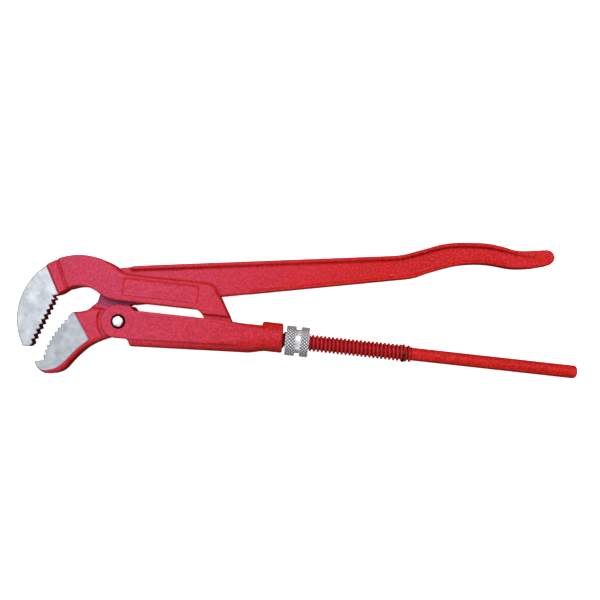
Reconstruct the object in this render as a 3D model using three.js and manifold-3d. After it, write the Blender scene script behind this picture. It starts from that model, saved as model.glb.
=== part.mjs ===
// Swedish-pattern pipe wrench with S-shaped jaws, size 1 1/2, lying on its flank.
// Millimetres, +Z up. The tool is drawn around the centre of the yoke's round ears: the bar's axis is
// X, the jaws point to -X, the lever lies on the +Y side of the bar and z = 0 is the middle plane.
// The finished group is shifted so that its origin is the middle of the base of its box.
import * as THREE from "three";
import { mergeVertices } from "three/addons/utils/BufferGeometryUtils.js";
import Module from "manifold-3d";

const wasm = await Module();
wasm.setup();

// ---- driving dimensions ----

const OVERALL_LENGTH = 420.7;
const RUNNING_GAP = 0.4;
const FIT_GAP = 0.3;

// thicknesses, as half of the size across the tool plane
const CHEEK_HALF = 10;
const SLOT_HALF = 4.6;
const WEB_HALF = SLOT_HALF - 0.6;
const JAW_HALF = 7.5;
const HOOK_GROUND_HALF = 5;
const EYE_HALF = 6.5;
const CHANNEL_HALF = EYE_HALF + RUNNING_GAP;
const YOKE_HALF = 11;
const FLANGE_HALF = 7.5;
const BOTTOM_FLANGE_HALF = 6;

// the hook: an arc about a point near the bar's axis
const HOOK_CENTRE = [-28.6, -1.2];
const HOOK_RADIUS = 47.5;
const HOOK_TIP_Y = -25.6;
const THROAT_CENTRE = [-28.7, 1.2];
const THROAT_RADIUS = 22;
const SHANK_BOTTOM = 15.4;
const THROAT_START_ANGLE = 55;
const THROAT_END_ANGLE = 127;
const SHANK_TOP = 36.2;
const KNEE_REAR_X = 84;
const KNEE_STEP_Y = 12.4;
const KNEE_BOTTOM = -7.5;

// the yoke
const EAR_RADIUS = 12.4;
const YOKE_TOP = 9.5;
const COLLAR_FRONT_X = 106.8;
const COLLAR_REAR_X = 123.2;
const COLLAR_RADIUS = 11.1;
const COLLAR_LIFT = 1.1;
const CHANNEL_FLOOR = -8.5;
const CHANNEL_END_X = 97;
const UNDERSIDE_FRONT_Y = -17.3;
const UNDERSIDE_RISE = 0.056;
const TROUGH_CORNER = 5.5;

// the bar, the nut and the rivet
const THREAD_RADIUS = 6.4;
const ROOT_RADIUS = 5.2;
const GRIP_RADIUS = 4.9;
const THREAD_END_X = 220.4;
const SPIGOT_RADIUS = 4.2;
const SPIGOT_LENGTH = 10;
const RING_RADIUS = 6.8;
const RING_X = 213;
const RING_WIDTH = 1.8;
const NUT_X = 125.1;
const NUT_LENGTH = 17.4;
const NUT_RADIUS = 11.3;
const NUT_FRONT_RING = 7.4;
const NUT_REAR_RING = 6.4;
const NUT_CHAMFER = 0.6;
const NUT_GROOVE_RADIUS = 8.8;
const RIVET_X = 0.8;
const RIVET_RADIUS = 4.3;
const RIVET_HEAD = 1.4;
const SINK_RADIUS = 5.4;
const SINK_DEPTH = 1;

// the lever
const EYE_RADIUS = 12;
const JAW_RELIEF_RADIUS = 16;
const FLANGE_TOP = 3.1;
const FLANGE_BOTTOM = 2.2;
const TOP_FLANGE_X = 4.8;
const BOTTOM_FLANGE_X = 93;

const TOOTH_PITCH = 3.95;
const ROUND = 32;
const NUT_SIDES = 40;

// ---- solids ----

function solid(geometry) {
  const g = geometry.clone();
  g.deleteAttribute("normal");
  g.deleteAttribute("uv");
  const merged = mergeVertices(g, 1e-4);
  const made = new wasm.Manifold(
    new wasm.Mesh({
      numProp: 3,
      vertProperties: new Float32Array(merged.attributes.position.array),
      triVerts: new Uint32Array(merged.index.array),
    }),
  );
  return made;
}

const join = (...parts) => parts.reduce((a, b) => a.add(b));
const cut = (from, ...tools) => tools.reduce((a, b) => a.subtract(b), from);

function geometryOf(body) {
  const mesh = body.getMesh();
  const xyz = new Float32Array(mesh.numVert * 3);
  for (let i = 0; i < mesh.numVert; i++) {
    const start = i * mesh.numProp;
    xyz.set(mesh.vertProperties.subarray(start, start + 3), i * 3);
  }
  const g = new THREE.BufferGeometry();
  g.setAttribute("position", new THREE.BufferAttribute(xyz, 3));
  g.setIndex(new THREE.BufferAttribute(new Uint32Array(mesh.triVerts), 1));
  g.computeVertexNormals();
  return g;
}

// A plate lying in the tool plane, centred on it, with its long edges optionally bevelled.
function plate(shape, half, bevel = 0, bevelSteps = 2) {
  const g = new THREE.ExtrudeGeometry(shape, {
    depth: 2 * (half - bevel),
    curveSegments: 10,
    bevelEnabled: bevel > 0,
    bevelThickness: bevel,
    bevelSize: bevel,
    bevelOffset: -bevel,
    bevelSegments: bevelSteps,
  });
  g.translate(0, 0, bevel - half);
  return solid(g);
}

// A box given by its limits on each axis.
function block([x0, x1], [y0, y1], [z0, z1]) {
  const g = new THREE.BoxGeometry(x1 - x0, y1 - y0, z1 - z0);
  g.translate((x0 + x1) / 2, (y0 + y1) / 2, (z0 + z1) / 2);
  return solid(g);
}

// A turned solid about the X axis from [x, radius] pairs listed by rising x, first and last on the axis.
function turnedX(profile, segments = ROUND) {
  const points = profile.map(([x, r]) => new THREE.Vector2(r, x));
  const g = new THREE.LatheGeometry(points, segments);
  g.rotateZ(-Math.PI / 2);
  return solid(g);
}

// A turned solid about the Z axis from [z, radius] pairs listed by rising z.
function turnedZ(profile, segments = ROUND) {
  const points = profile.map(([z, r]) => new THREE.Vector2(r, z));
  const g = new THREE.LatheGeometry(points, segments);
  g.rotateX(Math.PI / 2);
  return solid(g);
}

const rodX = (x0, x1, r) =>
  turnedX([
    [x0, 0],
    [x0, r],
    [x1, r],
    [x1, 0],
  ]);

const discZ = (half, r) =>
  turnedZ([
    [-half, 0],
    [-half, r],
    [half, r],
    [half, 0],
  ]);

const mirroredZ = (make) => [make(1), make(-1)];
const atRivet = (body, z = 0) => body.translate([RIVET_X, 0, z]);

// ---- teeth ----

// Draws saw teeth from the shape's current point along a slightly bowed line to the end point.
// Each tooth rises to the line and falls to a root that is depth mm behind it, on the given side.
function drawTeeth(shape, from, to, bow, depth, side) {
  const a = new THREE.Vector2(...from);
  const b = new THREE.Vector2(...to);
  const along = b.clone().sub(a);
  const count = Math.round(along.length() / TOOTH_PITCH);
  const out = new THREE.Vector2(-along.y, along.x).normalize().multiplyScalar(side);
  const crest = (t) =>
    a
      .clone()
      .addScaledVector(along, t)
      .addScaledVector(out, bow * 4 * t * (1 - t));
  for (let i = 0; i < count; i++) {
    const tip = crest(i / count);
    const root = crest((i + 0.5) / count).addScaledVector(out, -depth);
    shape.lineTo(tip.x, tip.y);
    shape.lineTo(root.x, root.y);
  }
  shape.lineTo(b.x, b.y);
}

// ---- hook jaw ----

const HOOK_TEETH_TOP = [-48.8, 11.4];
const HOOK_TEETH_BOTTOM = [-62, -23];
const HOOK_TEETH_BOW = 0;
const HOOK_TEETH_DEPTH = 2.2;
const NAPE_ANGLE = 54;

// where the ground flank ends and the painted band begins, and where the band steps up to the shank
const BAND_LINE = [
  [-65.8, 50],
  [-46.5, 14],
];
const SHANK_LINE = [
  [-54.2, 50],
  [-35.3, 10.5],
];

// The hook and shank in the tool plane, drawn from the tip round the back of the hook.
function hookOutline(toothDepth = 0) {
  const s = new THREE.Shape();
  const tipAngle = Math.PI - Math.asin((HOOK_TIP_Y - HOOK_CENTRE[1]) / HOOK_RADIUS);
  const nape = THREE.MathUtils.degToRad(NAPE_ANGLE);
  s.absarc(...HOOK_CENTRE, HOOK_RADIUS, tipAngle, nape, true);
  s.quadraticCurveTo(2, SHANK_TOP, 7, SHANK_TOP);
  s.lineTo(60, SHANK_TOP);
  s.quadraticCurveTo(67.5, SHANK_TOP, 70.5, 31.2);
  s.lineTo(82, KNEE_STEP_Y);
  s.lineTo(61.2, KNEE_STEP_Y);
  s.quadraticCurveTo(58.9, SHANK_BOTTOM, 53.8, SHANK_BOTTOM);
  s.lineTo(-2, SHANK_BOTTOM);
  const [startAngle, endAngle] = [THROAT_START_ANGLE, THROAT_END_ANGLE].map(THREE.MathUtils.degToRad);
  const throatStart = [
    THROAT_CENTRE[0] + THROAT_RADIUS * Math.cos(startAngle),
    THROAT_CENTRE[1] + THROAT_RADIUS * Math.sin(startAngle),
  ];
  s.quadraticCurveTo(-9, SHANK_BOTTOM, ...throatStart);
  s.absarc(...THROAT_CENTRE, THROAT_RADIUS, startAngle, endAngle, false);
  s.lineTo(-46.3, 15.4);
  s.lineTo(-51.3, 13.6);
  drawTeeth(s, HOOK_TEETH_TOP, HOOK_TEETH_BOTTOM, HOOK_TEETH_BOW, toothDepth, 1);
  s.lineTo(-64.7, HOOK_TIP_Y);
  s.closePath();
  return s;
}

// The part of the knee that fits between the yoke's walls.
function kneeOutline() {
  const s = new THREE.Shape();
  s.moveTo(59, 14.6);
  s.quadraticCurveTo(61.5, 12.5, 63.2, 9);
  s.lineTo(63.5, KNEE_BOTTOM);
  s.lineTo(KNEE_REAR_X, KNEE_BOTTOM);
  s.lineTo(KNEE_REAR_X, 9);
  s.lineTo(80.5, 14.6);
  s.closePath();
  return s;
}

// The slot that the lever passes through: open below in front of the knee, open above and behind.
function slotOutline() {
  const s = new THREE.Shape();
  s.moveTo(-26.5, 0);
  s.lineTo(57, 0);
  s.lineTo(57, 12.8);
  s.lineTo(90, 15);
  s.lineTo(90, 60);
  s.lineTo(-13, 60);
  s.lineTo(-17, 39.5);
  s.lineTo(-23, 30);
  s.lineTo(-26.5, 14);
  s.closePath();
  return s;
}

// The sunk panel on each cheek.
function panelOutline() {
  const [x0, x1, y0, y1, r] = [1.3, 57.3, 19.8, 32.7, 2];
  const s = new THREE.Shape();
  s.moveTo(x0 + r, y0);
  s.lineTo(x1 - r, y0);
  s.absarc(x1 - r, y0 + r, r, -Math.PI / 2, 0, false);
  s.absarc(x1 - r, y1 - r, r, 0, Math.PI / 2, false);
  s.absarc(x0 + r, y1 - r, r, Math.PI / 2, Math.PI, false);
  s.absarc(x0 + r, y0 + r, r, Math.PI, 1.5 * Math.PI, false);
  return s;
}

// Everything behind a slanted line across the hook, given by its upper and lower end.
function behind(upper, lower) {
  const s = new THREE.Shape();
  s.moveTo(...upper);
  s.lineTo(...lower);
  s.lineTo(lower[0], 0);
  s.lineTo(95, 0);
  s.lineTo(95, upper[1]);
  s.closePath();
  return plate(s, 15);
}

function hookJaw() {
  const jaw = plate(hookOutline(HOOK_TEETH_DEPTH), HOOK_GROUND_HALF);
  const band = plate(hookOutline(), JAW_HALF, 1).intersect(behind(...BAND_LINE));
  const cheeks = plate(hookOutline(), CHEEK_HALF, 1.6).intersect(behind(...SHANK_LINE));
  const knee = plate(kneeOutline(), EYE_HALF);
  const slot = plate(slotOutline(), SLOT_HALF);
  const panels = mirroredZ((side) =>
    plate(panelOutline(), 2).translate([0, 0, side * (CHEEK_HALF + 1.2)]),
  );
  const socket = rodX(KNEE_REAR_X - SPIGOT_LENGTH, KNEE_REAR_X + 1, SPIGOT_RADIUS + FIT_GAP);
  return cut(join(jaw, band, cheeks, knee), slot, ...panels, socket);
}

// ---- bar, ring, nut, rivet ----

function threadedBar() {
  const front = KNEE_REAR_X + FIT_GAP;
  const groove = [RING_X - FIT_GAP, RING_X + RING_WIDTH + FIT_GAP];
  const end = OVERALL_LENGTH + HOOK_CENTRE[0] - HOOK_RADIUS;
  return turnedX([
    [front - SPIGOT_LENGTH + 2 * FIT_GAP, 0],
    [front - SPIGOT_LENGTH + 2 * FIT_GAP, SPIGOT_RADIUS],
    [front, SPIGOT_RADIUS],
    [front, ROOT_RADIUS],
    [front + 1.2, THREAD_RADIUS],
    [groove[0], THREAD_RADIUS],
    [groove[0], ROOT_RADIUS],
    [groove[1], ROOT_RADIUS],
    [groove[1], THREAD_RADIUS],
    [THREAD_END_X - 1.2, THREAD_RADIUS],
    [THREAD_END_X, GRIP_RADIUS],
    [end - 2.2, GRIP_RADIUS],
    [end - 0.6, GRIP_RADIUS - 0.8],
    [end, GRIP_RADIUS - 2.4],
    [end, 0],
  ]);
}

// A closed ring about the X axis: a profile that comes back to its first point.
function ringX(profile, segments = ROUND) {
  return turnedX([...profile, profile[0]], segments);
}

function stopRing() {
  const inner = ROOT_RADIUS + FIT_GAP;
  return ringX([
    [RING_X, inner],
    [RING_X, RING_RADIUS - 0.4],
    [RING_X + 0.4, RING_RADIUS],
    [RING_X + RING_WIDTH - 0.4, RING_RADIUS],
    [RING_X + RING_WIDTH, RING_RADIUS - 0.4],
    [RING_X + RING_WIDTH, inner],
  ]);
}

function adjustingNut() {
  const bore = THREAD_RADIUS + FIT_GAP;
  const end = NUT_X + NUT_LENGTH;
  const grooveFront = NUT_X + NUT_FRONT_RING;
  const grooveRear = end - NUT_REAR_RING;
  const edge = NUT_RADIUS - NUT_CHAMFER;
  return ringX(
    [
      [NUT_X, bore],
      [NUT_X, edge],
      [NUT_X + NUT_CHAMFER, NUT_RADIUS],
      [grooveFront - NUT_CHAMFER, NUT_RADIUS],
      [grooveFront, edge],
      [grooveFront, NUT_GROOVE_RADIUS],
      [grooveRear, NUT_GROOVE_RADIUS],
      [grooveRear, edge],
      [grooveRear + NUT_CHAMFER, NUT_RADIUS],
      [end - NUT_CHAMFER, NUT_RADIUS],
      [end, edge],
      [end, bore],
    ],
    NUT_SIDES,
  );
}

function pivotRivet() {
  const face = YOKE_HALF;
  const domed = [
    [face, RIVET_RADIUS],
    [face + 0.6, RIVET_RADIUS - 0.4],
    [face + 1.1, RIVET_RADIUS - 1.6],
    [face + RIVET_HEAD, 0],
  ];
  const lower = domed.map(([z, r]) => [-z, r]).reverse();
  return atRivet(turnedZ([...lower, ...domed], 24));
}

// ---- yoke ----

function yokeOutline() {
  const s = new THREE.Shape();
  s.absarc(0, 0, EAR_RADIUS, -Math.PI / 2, Math.PI / 2, true);
  s.lineTo(8.6, EAR_RADIUS);
  s.lineTo(11.4, YOKE_TOP);
  s.lineTo(83, YOKE_TOP);
  s.quadraticCurveTo(86, 9.1, 90, 9.1);
  s.lineTo(COLLAR_FRONT_X + 2, 9);
  s.lineTo(COLLAR_FRONT_X + 2, -9.9);
  s.quadraticCurveTo(104, -11.9, 98, UNDERSIDE_FRONT_Y + 85 * UNDERSIDE_RISE);
  s.lineTo(13, UNDERSIDE_FRONT_Y);
  s.quadraticCurveTo(10.3, -16.7, 9.6, -14.6);
  s.quadraticCurveTo(9, -12.3, 7, -12.2);
  s.closePath();
  return s;
}

// A long trough with rounded lower corners, laid along the yoke's sloping underside.
function roundedTrough() {
  const r = TROUGH_CORNER;
  const height = 40;
  const s = new THREE.Shape();
  s.moveTo(-YOKE_HALF, height);
  s.lineTo(-YOKE_HALF, r);
  s.absarc(r - YOKE_HALF, r, r, Math.PI, 1.5 * Math.PI, false);
  s.absarc(YOKE_HALF - r, r, r, -Math.PI / 2, 0, false);
  s.lineTo(YOKE_HALF, height);
  s.closePath();
  const g = new THREE.ExtrudeGeometry(s, { depth: 160, curveSegments: 6 });
  g.rotateY(Math.PI / 2);
  g.rotateZ(Math.atan(UNDERSIDE_RISE));
  g.translate(-30, UNDERSIDE_FRONT_Y - 43 * UNDERSIDE_RISE, 0);
  return solid(g);
}

function yoke() {
  const body = plate(yokeOutline(), YOKE_HALF).intersect(roundedTrough());
  const collar = turnedX([
    [COLLAR_FRONT_X, 0],
    [COLLAR_FRONT_X, COLLAR_RADIUS - 0.5],
    [COLLAR_FRONT_X + 0.5, COLLAR_RADIUS],
    [COLLAR_REAR_X - 1.2, COLLAR_RADIUS],
    [COLLAR_REAR_X, COLLAR_RADIUS - 1.2],
    [COLLAR_REAR_X, 0],
  ]).translate([0, COLLAR_LIFT, 0]);
  const channel = block(
    [-30, CHANNEL_END_X],
    [CHANNEL_FLOOR, 30],
    [-CHANNEL_HALF, CHANNEL_HALF],
  );
  const eyeRoom = atRivet(discZ(CHANNEL_HALF, EYE_RADIUS + 1.5));
  const frontRoom = block([-30, 8.3], [-30, 0], [-CHANNEL_HALF, CHANNEL_HALF]);
  const bore = rodX(CHANNEL_END_X - 5, COLLAR_REAR_X + 5, THREAD_RADIUS + RUNNING_GAP);
  const rivetHole = atRivet(discZ(YOKE_HALF + 5, RIVET_RADIUS + FIT_GAP));
  const sinks = mirroredZ((side) => {
    const face = YOKE_HALF + 0.5;
    const cone = turnedZ([
      [YOKE_HALF - SINK_DEPTH, 0],
      [YOKE_HALF - SINK_DEPTH, RIVET_RADIUS + FIT_GAP],
      [face, SINK_RADIUS],
      [face, 0],
    ]);
    return atRivet(side > 0 ? cone : cone.rotate([180, 0, 0]));
  });
  return cut(join(body, collar), channel, eyeRoom, frontRoom, bore, rivetHole, ...sinks);
}

// ---- lever with the lower jaw ----

const LEVER_RISE = 0.2095;

// The handle's upper edge, from the neck to the rounded end.
const topEdge = [
  [204, 72.5],
  [218.2, 77.8],
  [238.1, 85],
  [263, 87.9],
  [277.5, 87],
  [290.5, 85.1],
  [310.7, 87.9],
];

// The handle's lower edge, from the rounded end back to the straight stretch.
const bottomEdge = [
  [302.8, 73.8],
  [287.9, 71.8],
  [268, 72.8],
  [248, 70],
  [228.2, 62.7],
  [216, 57.1],
];

const flangeBend = [19.2, 44.4];
const straightTopEnd = [188, 69.7];
const straightUndersideEnd = [204, 54.2];
const handleEndBottom = [313, 76.6];

// The height of the handle's straight underside at x.
const straightUnderside = (x) =>
  straightUndersideEnd[1] + (x - straightUndersideEnd[0]) * LEVER_RISE;

// Rounds the end of the handle, from the upper edge's last point to the start of the underside.
function drawHandleEnd(shape) {
  shape.quadraticCurveTo(316.2, 87.9, 317.3, 82.6);
  shape.quadraticCurveTo(316.8, 78.4, ...handleEndBottom);
}

const points = (list) => list.map(([x, y]) => new THREE.Vector2(x, y));

// The flat web: the neck, and the whole handle.
function webOutline() {
  const s = new THREE.Shape();
  s.moveTo(-11, -4);
  s.lineTo(-20, 5.4);
  s.quadraticCurveTo(-17.6, 12, -16.6, 19);
  s.quadraticCurveTo(-12.5, 33.4, -2.7, 40.3);
  s.lineTo(...flangeBend);
  s.lineTo(...straightTopEnd);
  s.splineThru(points(topEdge));
  drawHandleEnd(s);
  s.lineTo(...bottomEdge[0]);
  s.splineThru(points([...bottomEdge.slice(1), straightUndersideEnd]));
  s.lineTo(10.8, straightUnderside(10.8));
  s.quadraticCurveTo(7.8, 14, 6.4, 11.5);
  s.lineTo(8, 0);
  s.closePath();
  return s;
}

// A flange along the top edge: the edge itself and the same edge lowered.
function topFlangeOutline() {
  const s = new THREE.Shape();
  s.moveTo(TOP_FLANGE_X, 41.4);
  s.lineTo(TOP_FLANGE_X + 1, 42.2);
  s.lineTo(...flangeBend);
  s.lineTo(...straightTopEnd);
  s.splineThru(points(topEdge));
  drawHandleEnd(s);
  s.lineTo(304, 80.8);
  const lowered = [straightTopEnd, ...topEdge.slice(0, -1)].reverse();
  s.splineThru(points(lowered.map(([x, y]) => [x, y - FLANGE_TOP])));
  s.lineTo(flangeBend[0], flangeBend[1] - FLANGE_TOP);
  s.lineTo(TOP_FLANGE_X + 1, 39.3);
  s.lineTo(TOP_FLANGE_X, 40);
  s.closePath();
  return s;
}

function bottomFlangeOutline() {
  const s = new THREE.Shape();
  s.moveTo(BOTTOM_FLANGE_X, straightUnderside(BOTTOM_FLANGE_X));
  s.lineTo(...straightUndersideEnd);
  s.splineThru(points([...bottomEdge].reverse()));
  s.lineTo(...handleEndBottom);
  s.lineTo(308, 80);
  const raised = [...bottomEdge, straightUndersideEnd].map(([x, y]) => [x, y + FLANGE_BOTTOM]);
  s.lineTo(...raised[0]);
  s.splineThru(points(raised.slice(1)));
  s.lineTo(BOTTOM_FLANGE_X + 3, straightUnderside(BOTTOM_FLANGE_X + 3) + FLANGE_BOTTOM);
  s.closePath();
  return s;
}

const LOWER_TEETH_TOP = [-37.5, -0.1];
const LOWER_TEETH_BOTTOM = [-53.6, -34.8];
const LOWER_TEETH_BOW = 2.9;
const LOWER_TEETH_DEPTH = 1.8;

function lowerJawOutline() {
  const s = new THREE.Shape();
  s.moveTo(-34.2, 3.6);
  drawTeeth(s, LOWER_TEETH_TOP, LOWER_TEETH_BOTTOM, LOWER_TEETH_BOW, LOWER_TEETH_DEPTH, -1);
  s.lineTo(-58.7, -36.2);
  s.quadraticCurveTo(-55.6, -43.4, -50, -44.2);
  s.quadraticCurveTo(-40.5, -44.5, -35.5, -38.2);
  s.quadraticCurveTo(-29.4, -28.9, -21.7, -21.5);
  s.quadraticCurveTo(-14, -15.4, -4.9, -12.3);
  s.lineTo(0, -6);
  s.lineTo(-6, 8);
  s.lineTo(-20.7, 8.8);
  s.quadraticCurveTo(-24, 4.8, -34.2, 3.6);
  return s;
}

function lowerJawLever() {
  const web = plate(webOutline(), WEB_HALF);
  const flanges = [
    plate(topFlangeOutline(), FLANGE_HALF),
    plate(bottomFlangeOutline(), BOTTOM_FLANGE_HALF),
  ];
  const eye = atRivet(discZ(EYE_HALF, EYE_RADIUS));
  const jaw = cut(
    plate(lowerJawOutline(), JAW_HALF),
    ...mirroredZ((side) => atRivet(discZ(2, JAW_RELIEF_RADIUS), side * (EYE_HALF + 2))),
  );
  const rivetHole = atRivet(discZ(JAW_HALF + 5, RIVET_RADIUS + FIT_GAP));
  return cut(join(web, ...flanges, eye, jaw), rivetHole);
}

// ---- the object ----

const red = (roughness) =>
  new THREE.MeshStandardMaterial({ color: 0xd2283a, roughness, metalness: 0.1 });
const steel = (color, roughness) =>
  new THREE.MeshStandardMaterial({ color, roughness, metalness: 0.95 });

const wrench = new THREE.Group();

function add(name, body, material) {
  const mesh = new THREE.Mesh(geometryOf(body), material);
  mesh.name = name;
  wrench.add(mesh);
}

add("hook_jaw", hookJaw(), red(0.5));
add("threaded_bar", threadedBar(), red(0.42));
add("stop_ring", stopRing(), steel(0x2c2a20, 0.5));
add("lower_jaw_lever", lowerJawLever(), red(0.5));
add("yoke", yoke(), red(0.48));
add("pivot_rivet", pivotRivet(), steel(0xd8dadd, 0.18));
add("adjusting_nut", adjustingNut(), steel(0xc9cccf, 0.22));

const box = new THREE.Box3().setFromObject(wrench);
const middle = box.getCenter(new THREE.Vector3());
wrench.position.set(-middle.x, -middle.y, -box.min.z);

export default wrench;
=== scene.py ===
"""The looks of a Swedish-pattern pipe wrench with S-shaped jaws, lying on its flank.

Shapes are drawn in tool millimetres: the origin is the centre of the yoke's round ears, the bar runs
along +X, the lever lies on the +Y side and z = 0 is the tool's mid plane. Forgings are sampled fields,
blended and rounded as a forging is, and skinned with quads. Turned pieces are grids of rings.
"""

import math
from itertools import product

import bpy
import numpy as np
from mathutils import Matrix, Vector


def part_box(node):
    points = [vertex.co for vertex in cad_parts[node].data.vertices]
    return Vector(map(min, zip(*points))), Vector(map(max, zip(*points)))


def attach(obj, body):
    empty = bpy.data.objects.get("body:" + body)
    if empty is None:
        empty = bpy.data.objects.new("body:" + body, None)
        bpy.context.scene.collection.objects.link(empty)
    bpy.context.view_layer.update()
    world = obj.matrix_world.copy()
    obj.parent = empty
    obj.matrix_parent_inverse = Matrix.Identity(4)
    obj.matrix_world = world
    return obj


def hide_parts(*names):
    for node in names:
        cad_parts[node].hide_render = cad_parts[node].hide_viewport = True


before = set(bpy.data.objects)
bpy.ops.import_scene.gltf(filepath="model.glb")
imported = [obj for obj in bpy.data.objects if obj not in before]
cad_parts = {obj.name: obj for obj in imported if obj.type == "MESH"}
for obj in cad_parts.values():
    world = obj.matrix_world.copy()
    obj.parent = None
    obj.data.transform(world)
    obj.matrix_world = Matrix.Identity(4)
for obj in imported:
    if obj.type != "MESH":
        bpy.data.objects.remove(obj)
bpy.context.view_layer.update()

MM = 0.001


def centre_of(node):
    low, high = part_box(node)
    return (low + high) / 2


RIVET_X = 0.8
ORIGIN = np.array(centre_of("pivot_rivet")) - (RIVET_X * MM, 0, 0)


def tool_box(node):
    """A CAD node's lowest and highest corner in tool millimetres."""
    low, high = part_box(node)
    return (np.array(low) - ORIGIN) / MM, (np.array(high) - ORIGIN) / MM


# ---- sizes in tool millimetres ----

HOOK_LOW, HOOK_HIGH = tool_box("hook_jaw")
LEVER_LOW, LEVER_HIGH = tool_box("lower_jaw_lever")
YOKE_LOW, YOKE_HIGH = tool_box("yoke")
BAR_LOW, BAR_HIGH = tool_box("threaded_bar")
NUT_LOW, NUT_HIGH = tool_box("adjusting_nut")
RING_LOW, RING_HIGH = tool_box("stop_ring")
RIVET_HIGH = tool_box("pivot_rivet")[1]

CHEEK_HALF = HOOK_HIGH[2]
JAW_HALF = LEVER_HIGH[2]
YOKE_HALF = 11.0
SLOT_HALF = 4.6
WEB_HALF = 4.0
EYE_HALF = 6.5
CHANNEL_HALF = 6.9
GROUND_HALF = JAW_HALF - 0.3

HOOK_RADIUS = 47.5
HOOK_CENTRE = (HOOK_LOW[0] + HOOK_RADIUS, -1.2)
HOOK_TIP_Y = HOOK_LOW[1]
THROAT_CENTRE = (-28.7, 1.2)
THROAT_RADIUS = 22.0
THROAT_START_ANGLE = 55
THROAT_END_ANGLE = 127
SHANK_BOTTOM = 15.4
SHANK_TOP = 36.2
KNEE_STEP_Y = 12.4
KNEE_BOTTOM = -7.5
KNEE_REAR_X = HOOK_HIGH[0]
SOCKET_RADIUS = 4.5
SOCKET_DEPTH = 10.0
TOOTH_PITCH = 3.95

EAR_RADIUS = -YOKE_LOW[0]
YOKE_TOP = 9.5
COLLAR_FRONT_X = 106.8
COLLAR_RADIUS = YOKE_HIGH[2]
COLLAR_LIFT = 1.1
UNDERSIDE_Y = YOKE_LOW[1]
UNDERSIDE_RISE = 0.056
CHANNEL_FLOOR = -8.5
CHANNEL_END_X = 97.0

THREAD_RADIUS = BAR_HIGH[2]
THREAD_PITCH = 3.0
ROOT_RADIUS = 5.2
THREAD_ROOT = 4.8
GRIP_RADIUS = 4.9
THREAD_END_X = 220.4
RIVET_RADIUS = RIVET_HIGH[1]
RIVET_HOLE_RADIUS = RIVET_RADIUS + 0.3

EYE_RADIUS = 12.0
JAW_RELIEF_RADIUS = 16.0
LEVER_RISE = 0.2095
FLANGE_TOP = 3.1
FLANGE_BOTTOM = 2.2
BOTTOM_FLANGE_HALF = 6.0

# The distances between the sample points of the forgings.
HOOK_SAMPLING = 0.45
LEVER_SAMPLING = 0.5
YOKE_SAMPLING = 0.42


# ---- camera, floor and light ----

CAMERA_POINT = (135.85, 1.1)
CAMERA_HEIGHT = 600.3
CAMERA_ROLL = math.radians(6.32)
CAMERA_LENS = 47.93
CAMERA_SHIFT = 0.067

FLOOR_HALF = 3.0
FLOOR_GLOW = 0.92

# The world's colour at the horizon and overhead, each after its place on the ramp.
WORLD_RAMP = ((0.02, (0.10, 0.09, 0.09, 1)), (0.75, (0.42, 0.42, 0.44, 1)))
# It is full bright on the jaws' side and dim on the side of the handle ends.
WORLD_FADE = {"From Min": -0.3, "From Max": 0.05, "To Min": 1.0, "To Max": 0.05}

# Each light's name, place, size in metres, power in watts, colour and the point that it faces.
LIGHTS = (
    ("key", (150, 500, 900), (1.2, 0.5), 6.7, (1.0, 0.96, 0.94), (100, 10, 0)),
    ("cool_left", (-260, 60, 800), (0.6, 0.6), 2.4, (0.92, 0.97, 1.0), (-30, 10, 0)),
    ("low_front", (100, -700, 260), (1.0, 0.3), 1.1, (1.0, 0.93, 0.9), (60, 0, 0)),
    ("right", (900, 100, 600), (0.5, 0.5), 1.5, (1.0, 0.95, 0.92), (100, 10, 0)),
)


def in_row(point):
    """A tool point in metres in the row frame."""
    return np.asarray(point, float) * MM + ORIGIN


def add_camera():
    data = bpy.data.cameras.new("camera")
    data.lens = CAMERA_LENS
    data.sensor_width = 36.0
    data.shift_y = CAMERA_SHIFT
    data.clip_start = 0.01
    camera = bpy.data.objects.new("camera", data)
    camera.location = in_row((*CAMERA_POINT, CAMERA_HEIGHT))
    camera.rotation_euler = (0.0, 0.0, CAMERA_ROLL)
    bpy.context.scene.collection.objects.link(camera)
    bpy.context.scene.camera = camera


def add_floor():
    """A pale floor that glows evenly, lights nothing and shows in no reflection."""
    corners = [(x * FLOOR_HALF, y * FLOOR_HALF, 0) for x, y in ((-1, -1), (1, -1), (1, 1), (-1, 1))]
    mesh = bpy.data.meshes.new("floor")
    mesh.from_pydata(corners, [], [(0, 1, 2, 3)])
    floor = bpy.data.objects.new("floor", mesh)
    bpy.context.scene.collection.objects.link(floor)
    floor.visible_glossy = False
    floor.visible_diffuse = False
    material, shader = new_material("pale_floor")
    shader.inputs["Base Color"].default_value = (0.9, 0.9, 0.9, 1)
    shader.inputs["Roughness"].default_value = 0.9
    shader.inputs["Specular IOR Level"].default_value = 0.0
    shader.inputs["Emission Color"].default_value = (1, 1, 1, 1)
    shader.inputs["Emission Strength"].default_value = FLOOR_GLOW
    mesh.materials.append(material)


def add_light(name, point, size, power, colour, aim):
    data = bpy.data.lights.new(name, "AREA")
    data.shape = "RECTANGLE"
    data.size, data.size_y = size
    data.energy = power
    data.color = colour
    light = bpy.data.objects.new(name, data)
    light.location = in_row(point)
    direction = in_row(aim) - in_row(point)
    light.rotation_euler = Vector(direction).to_track_quat("-Z", "Y").to_euler()
    bpy.context.scene.collection.objects.link(light)


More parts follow.
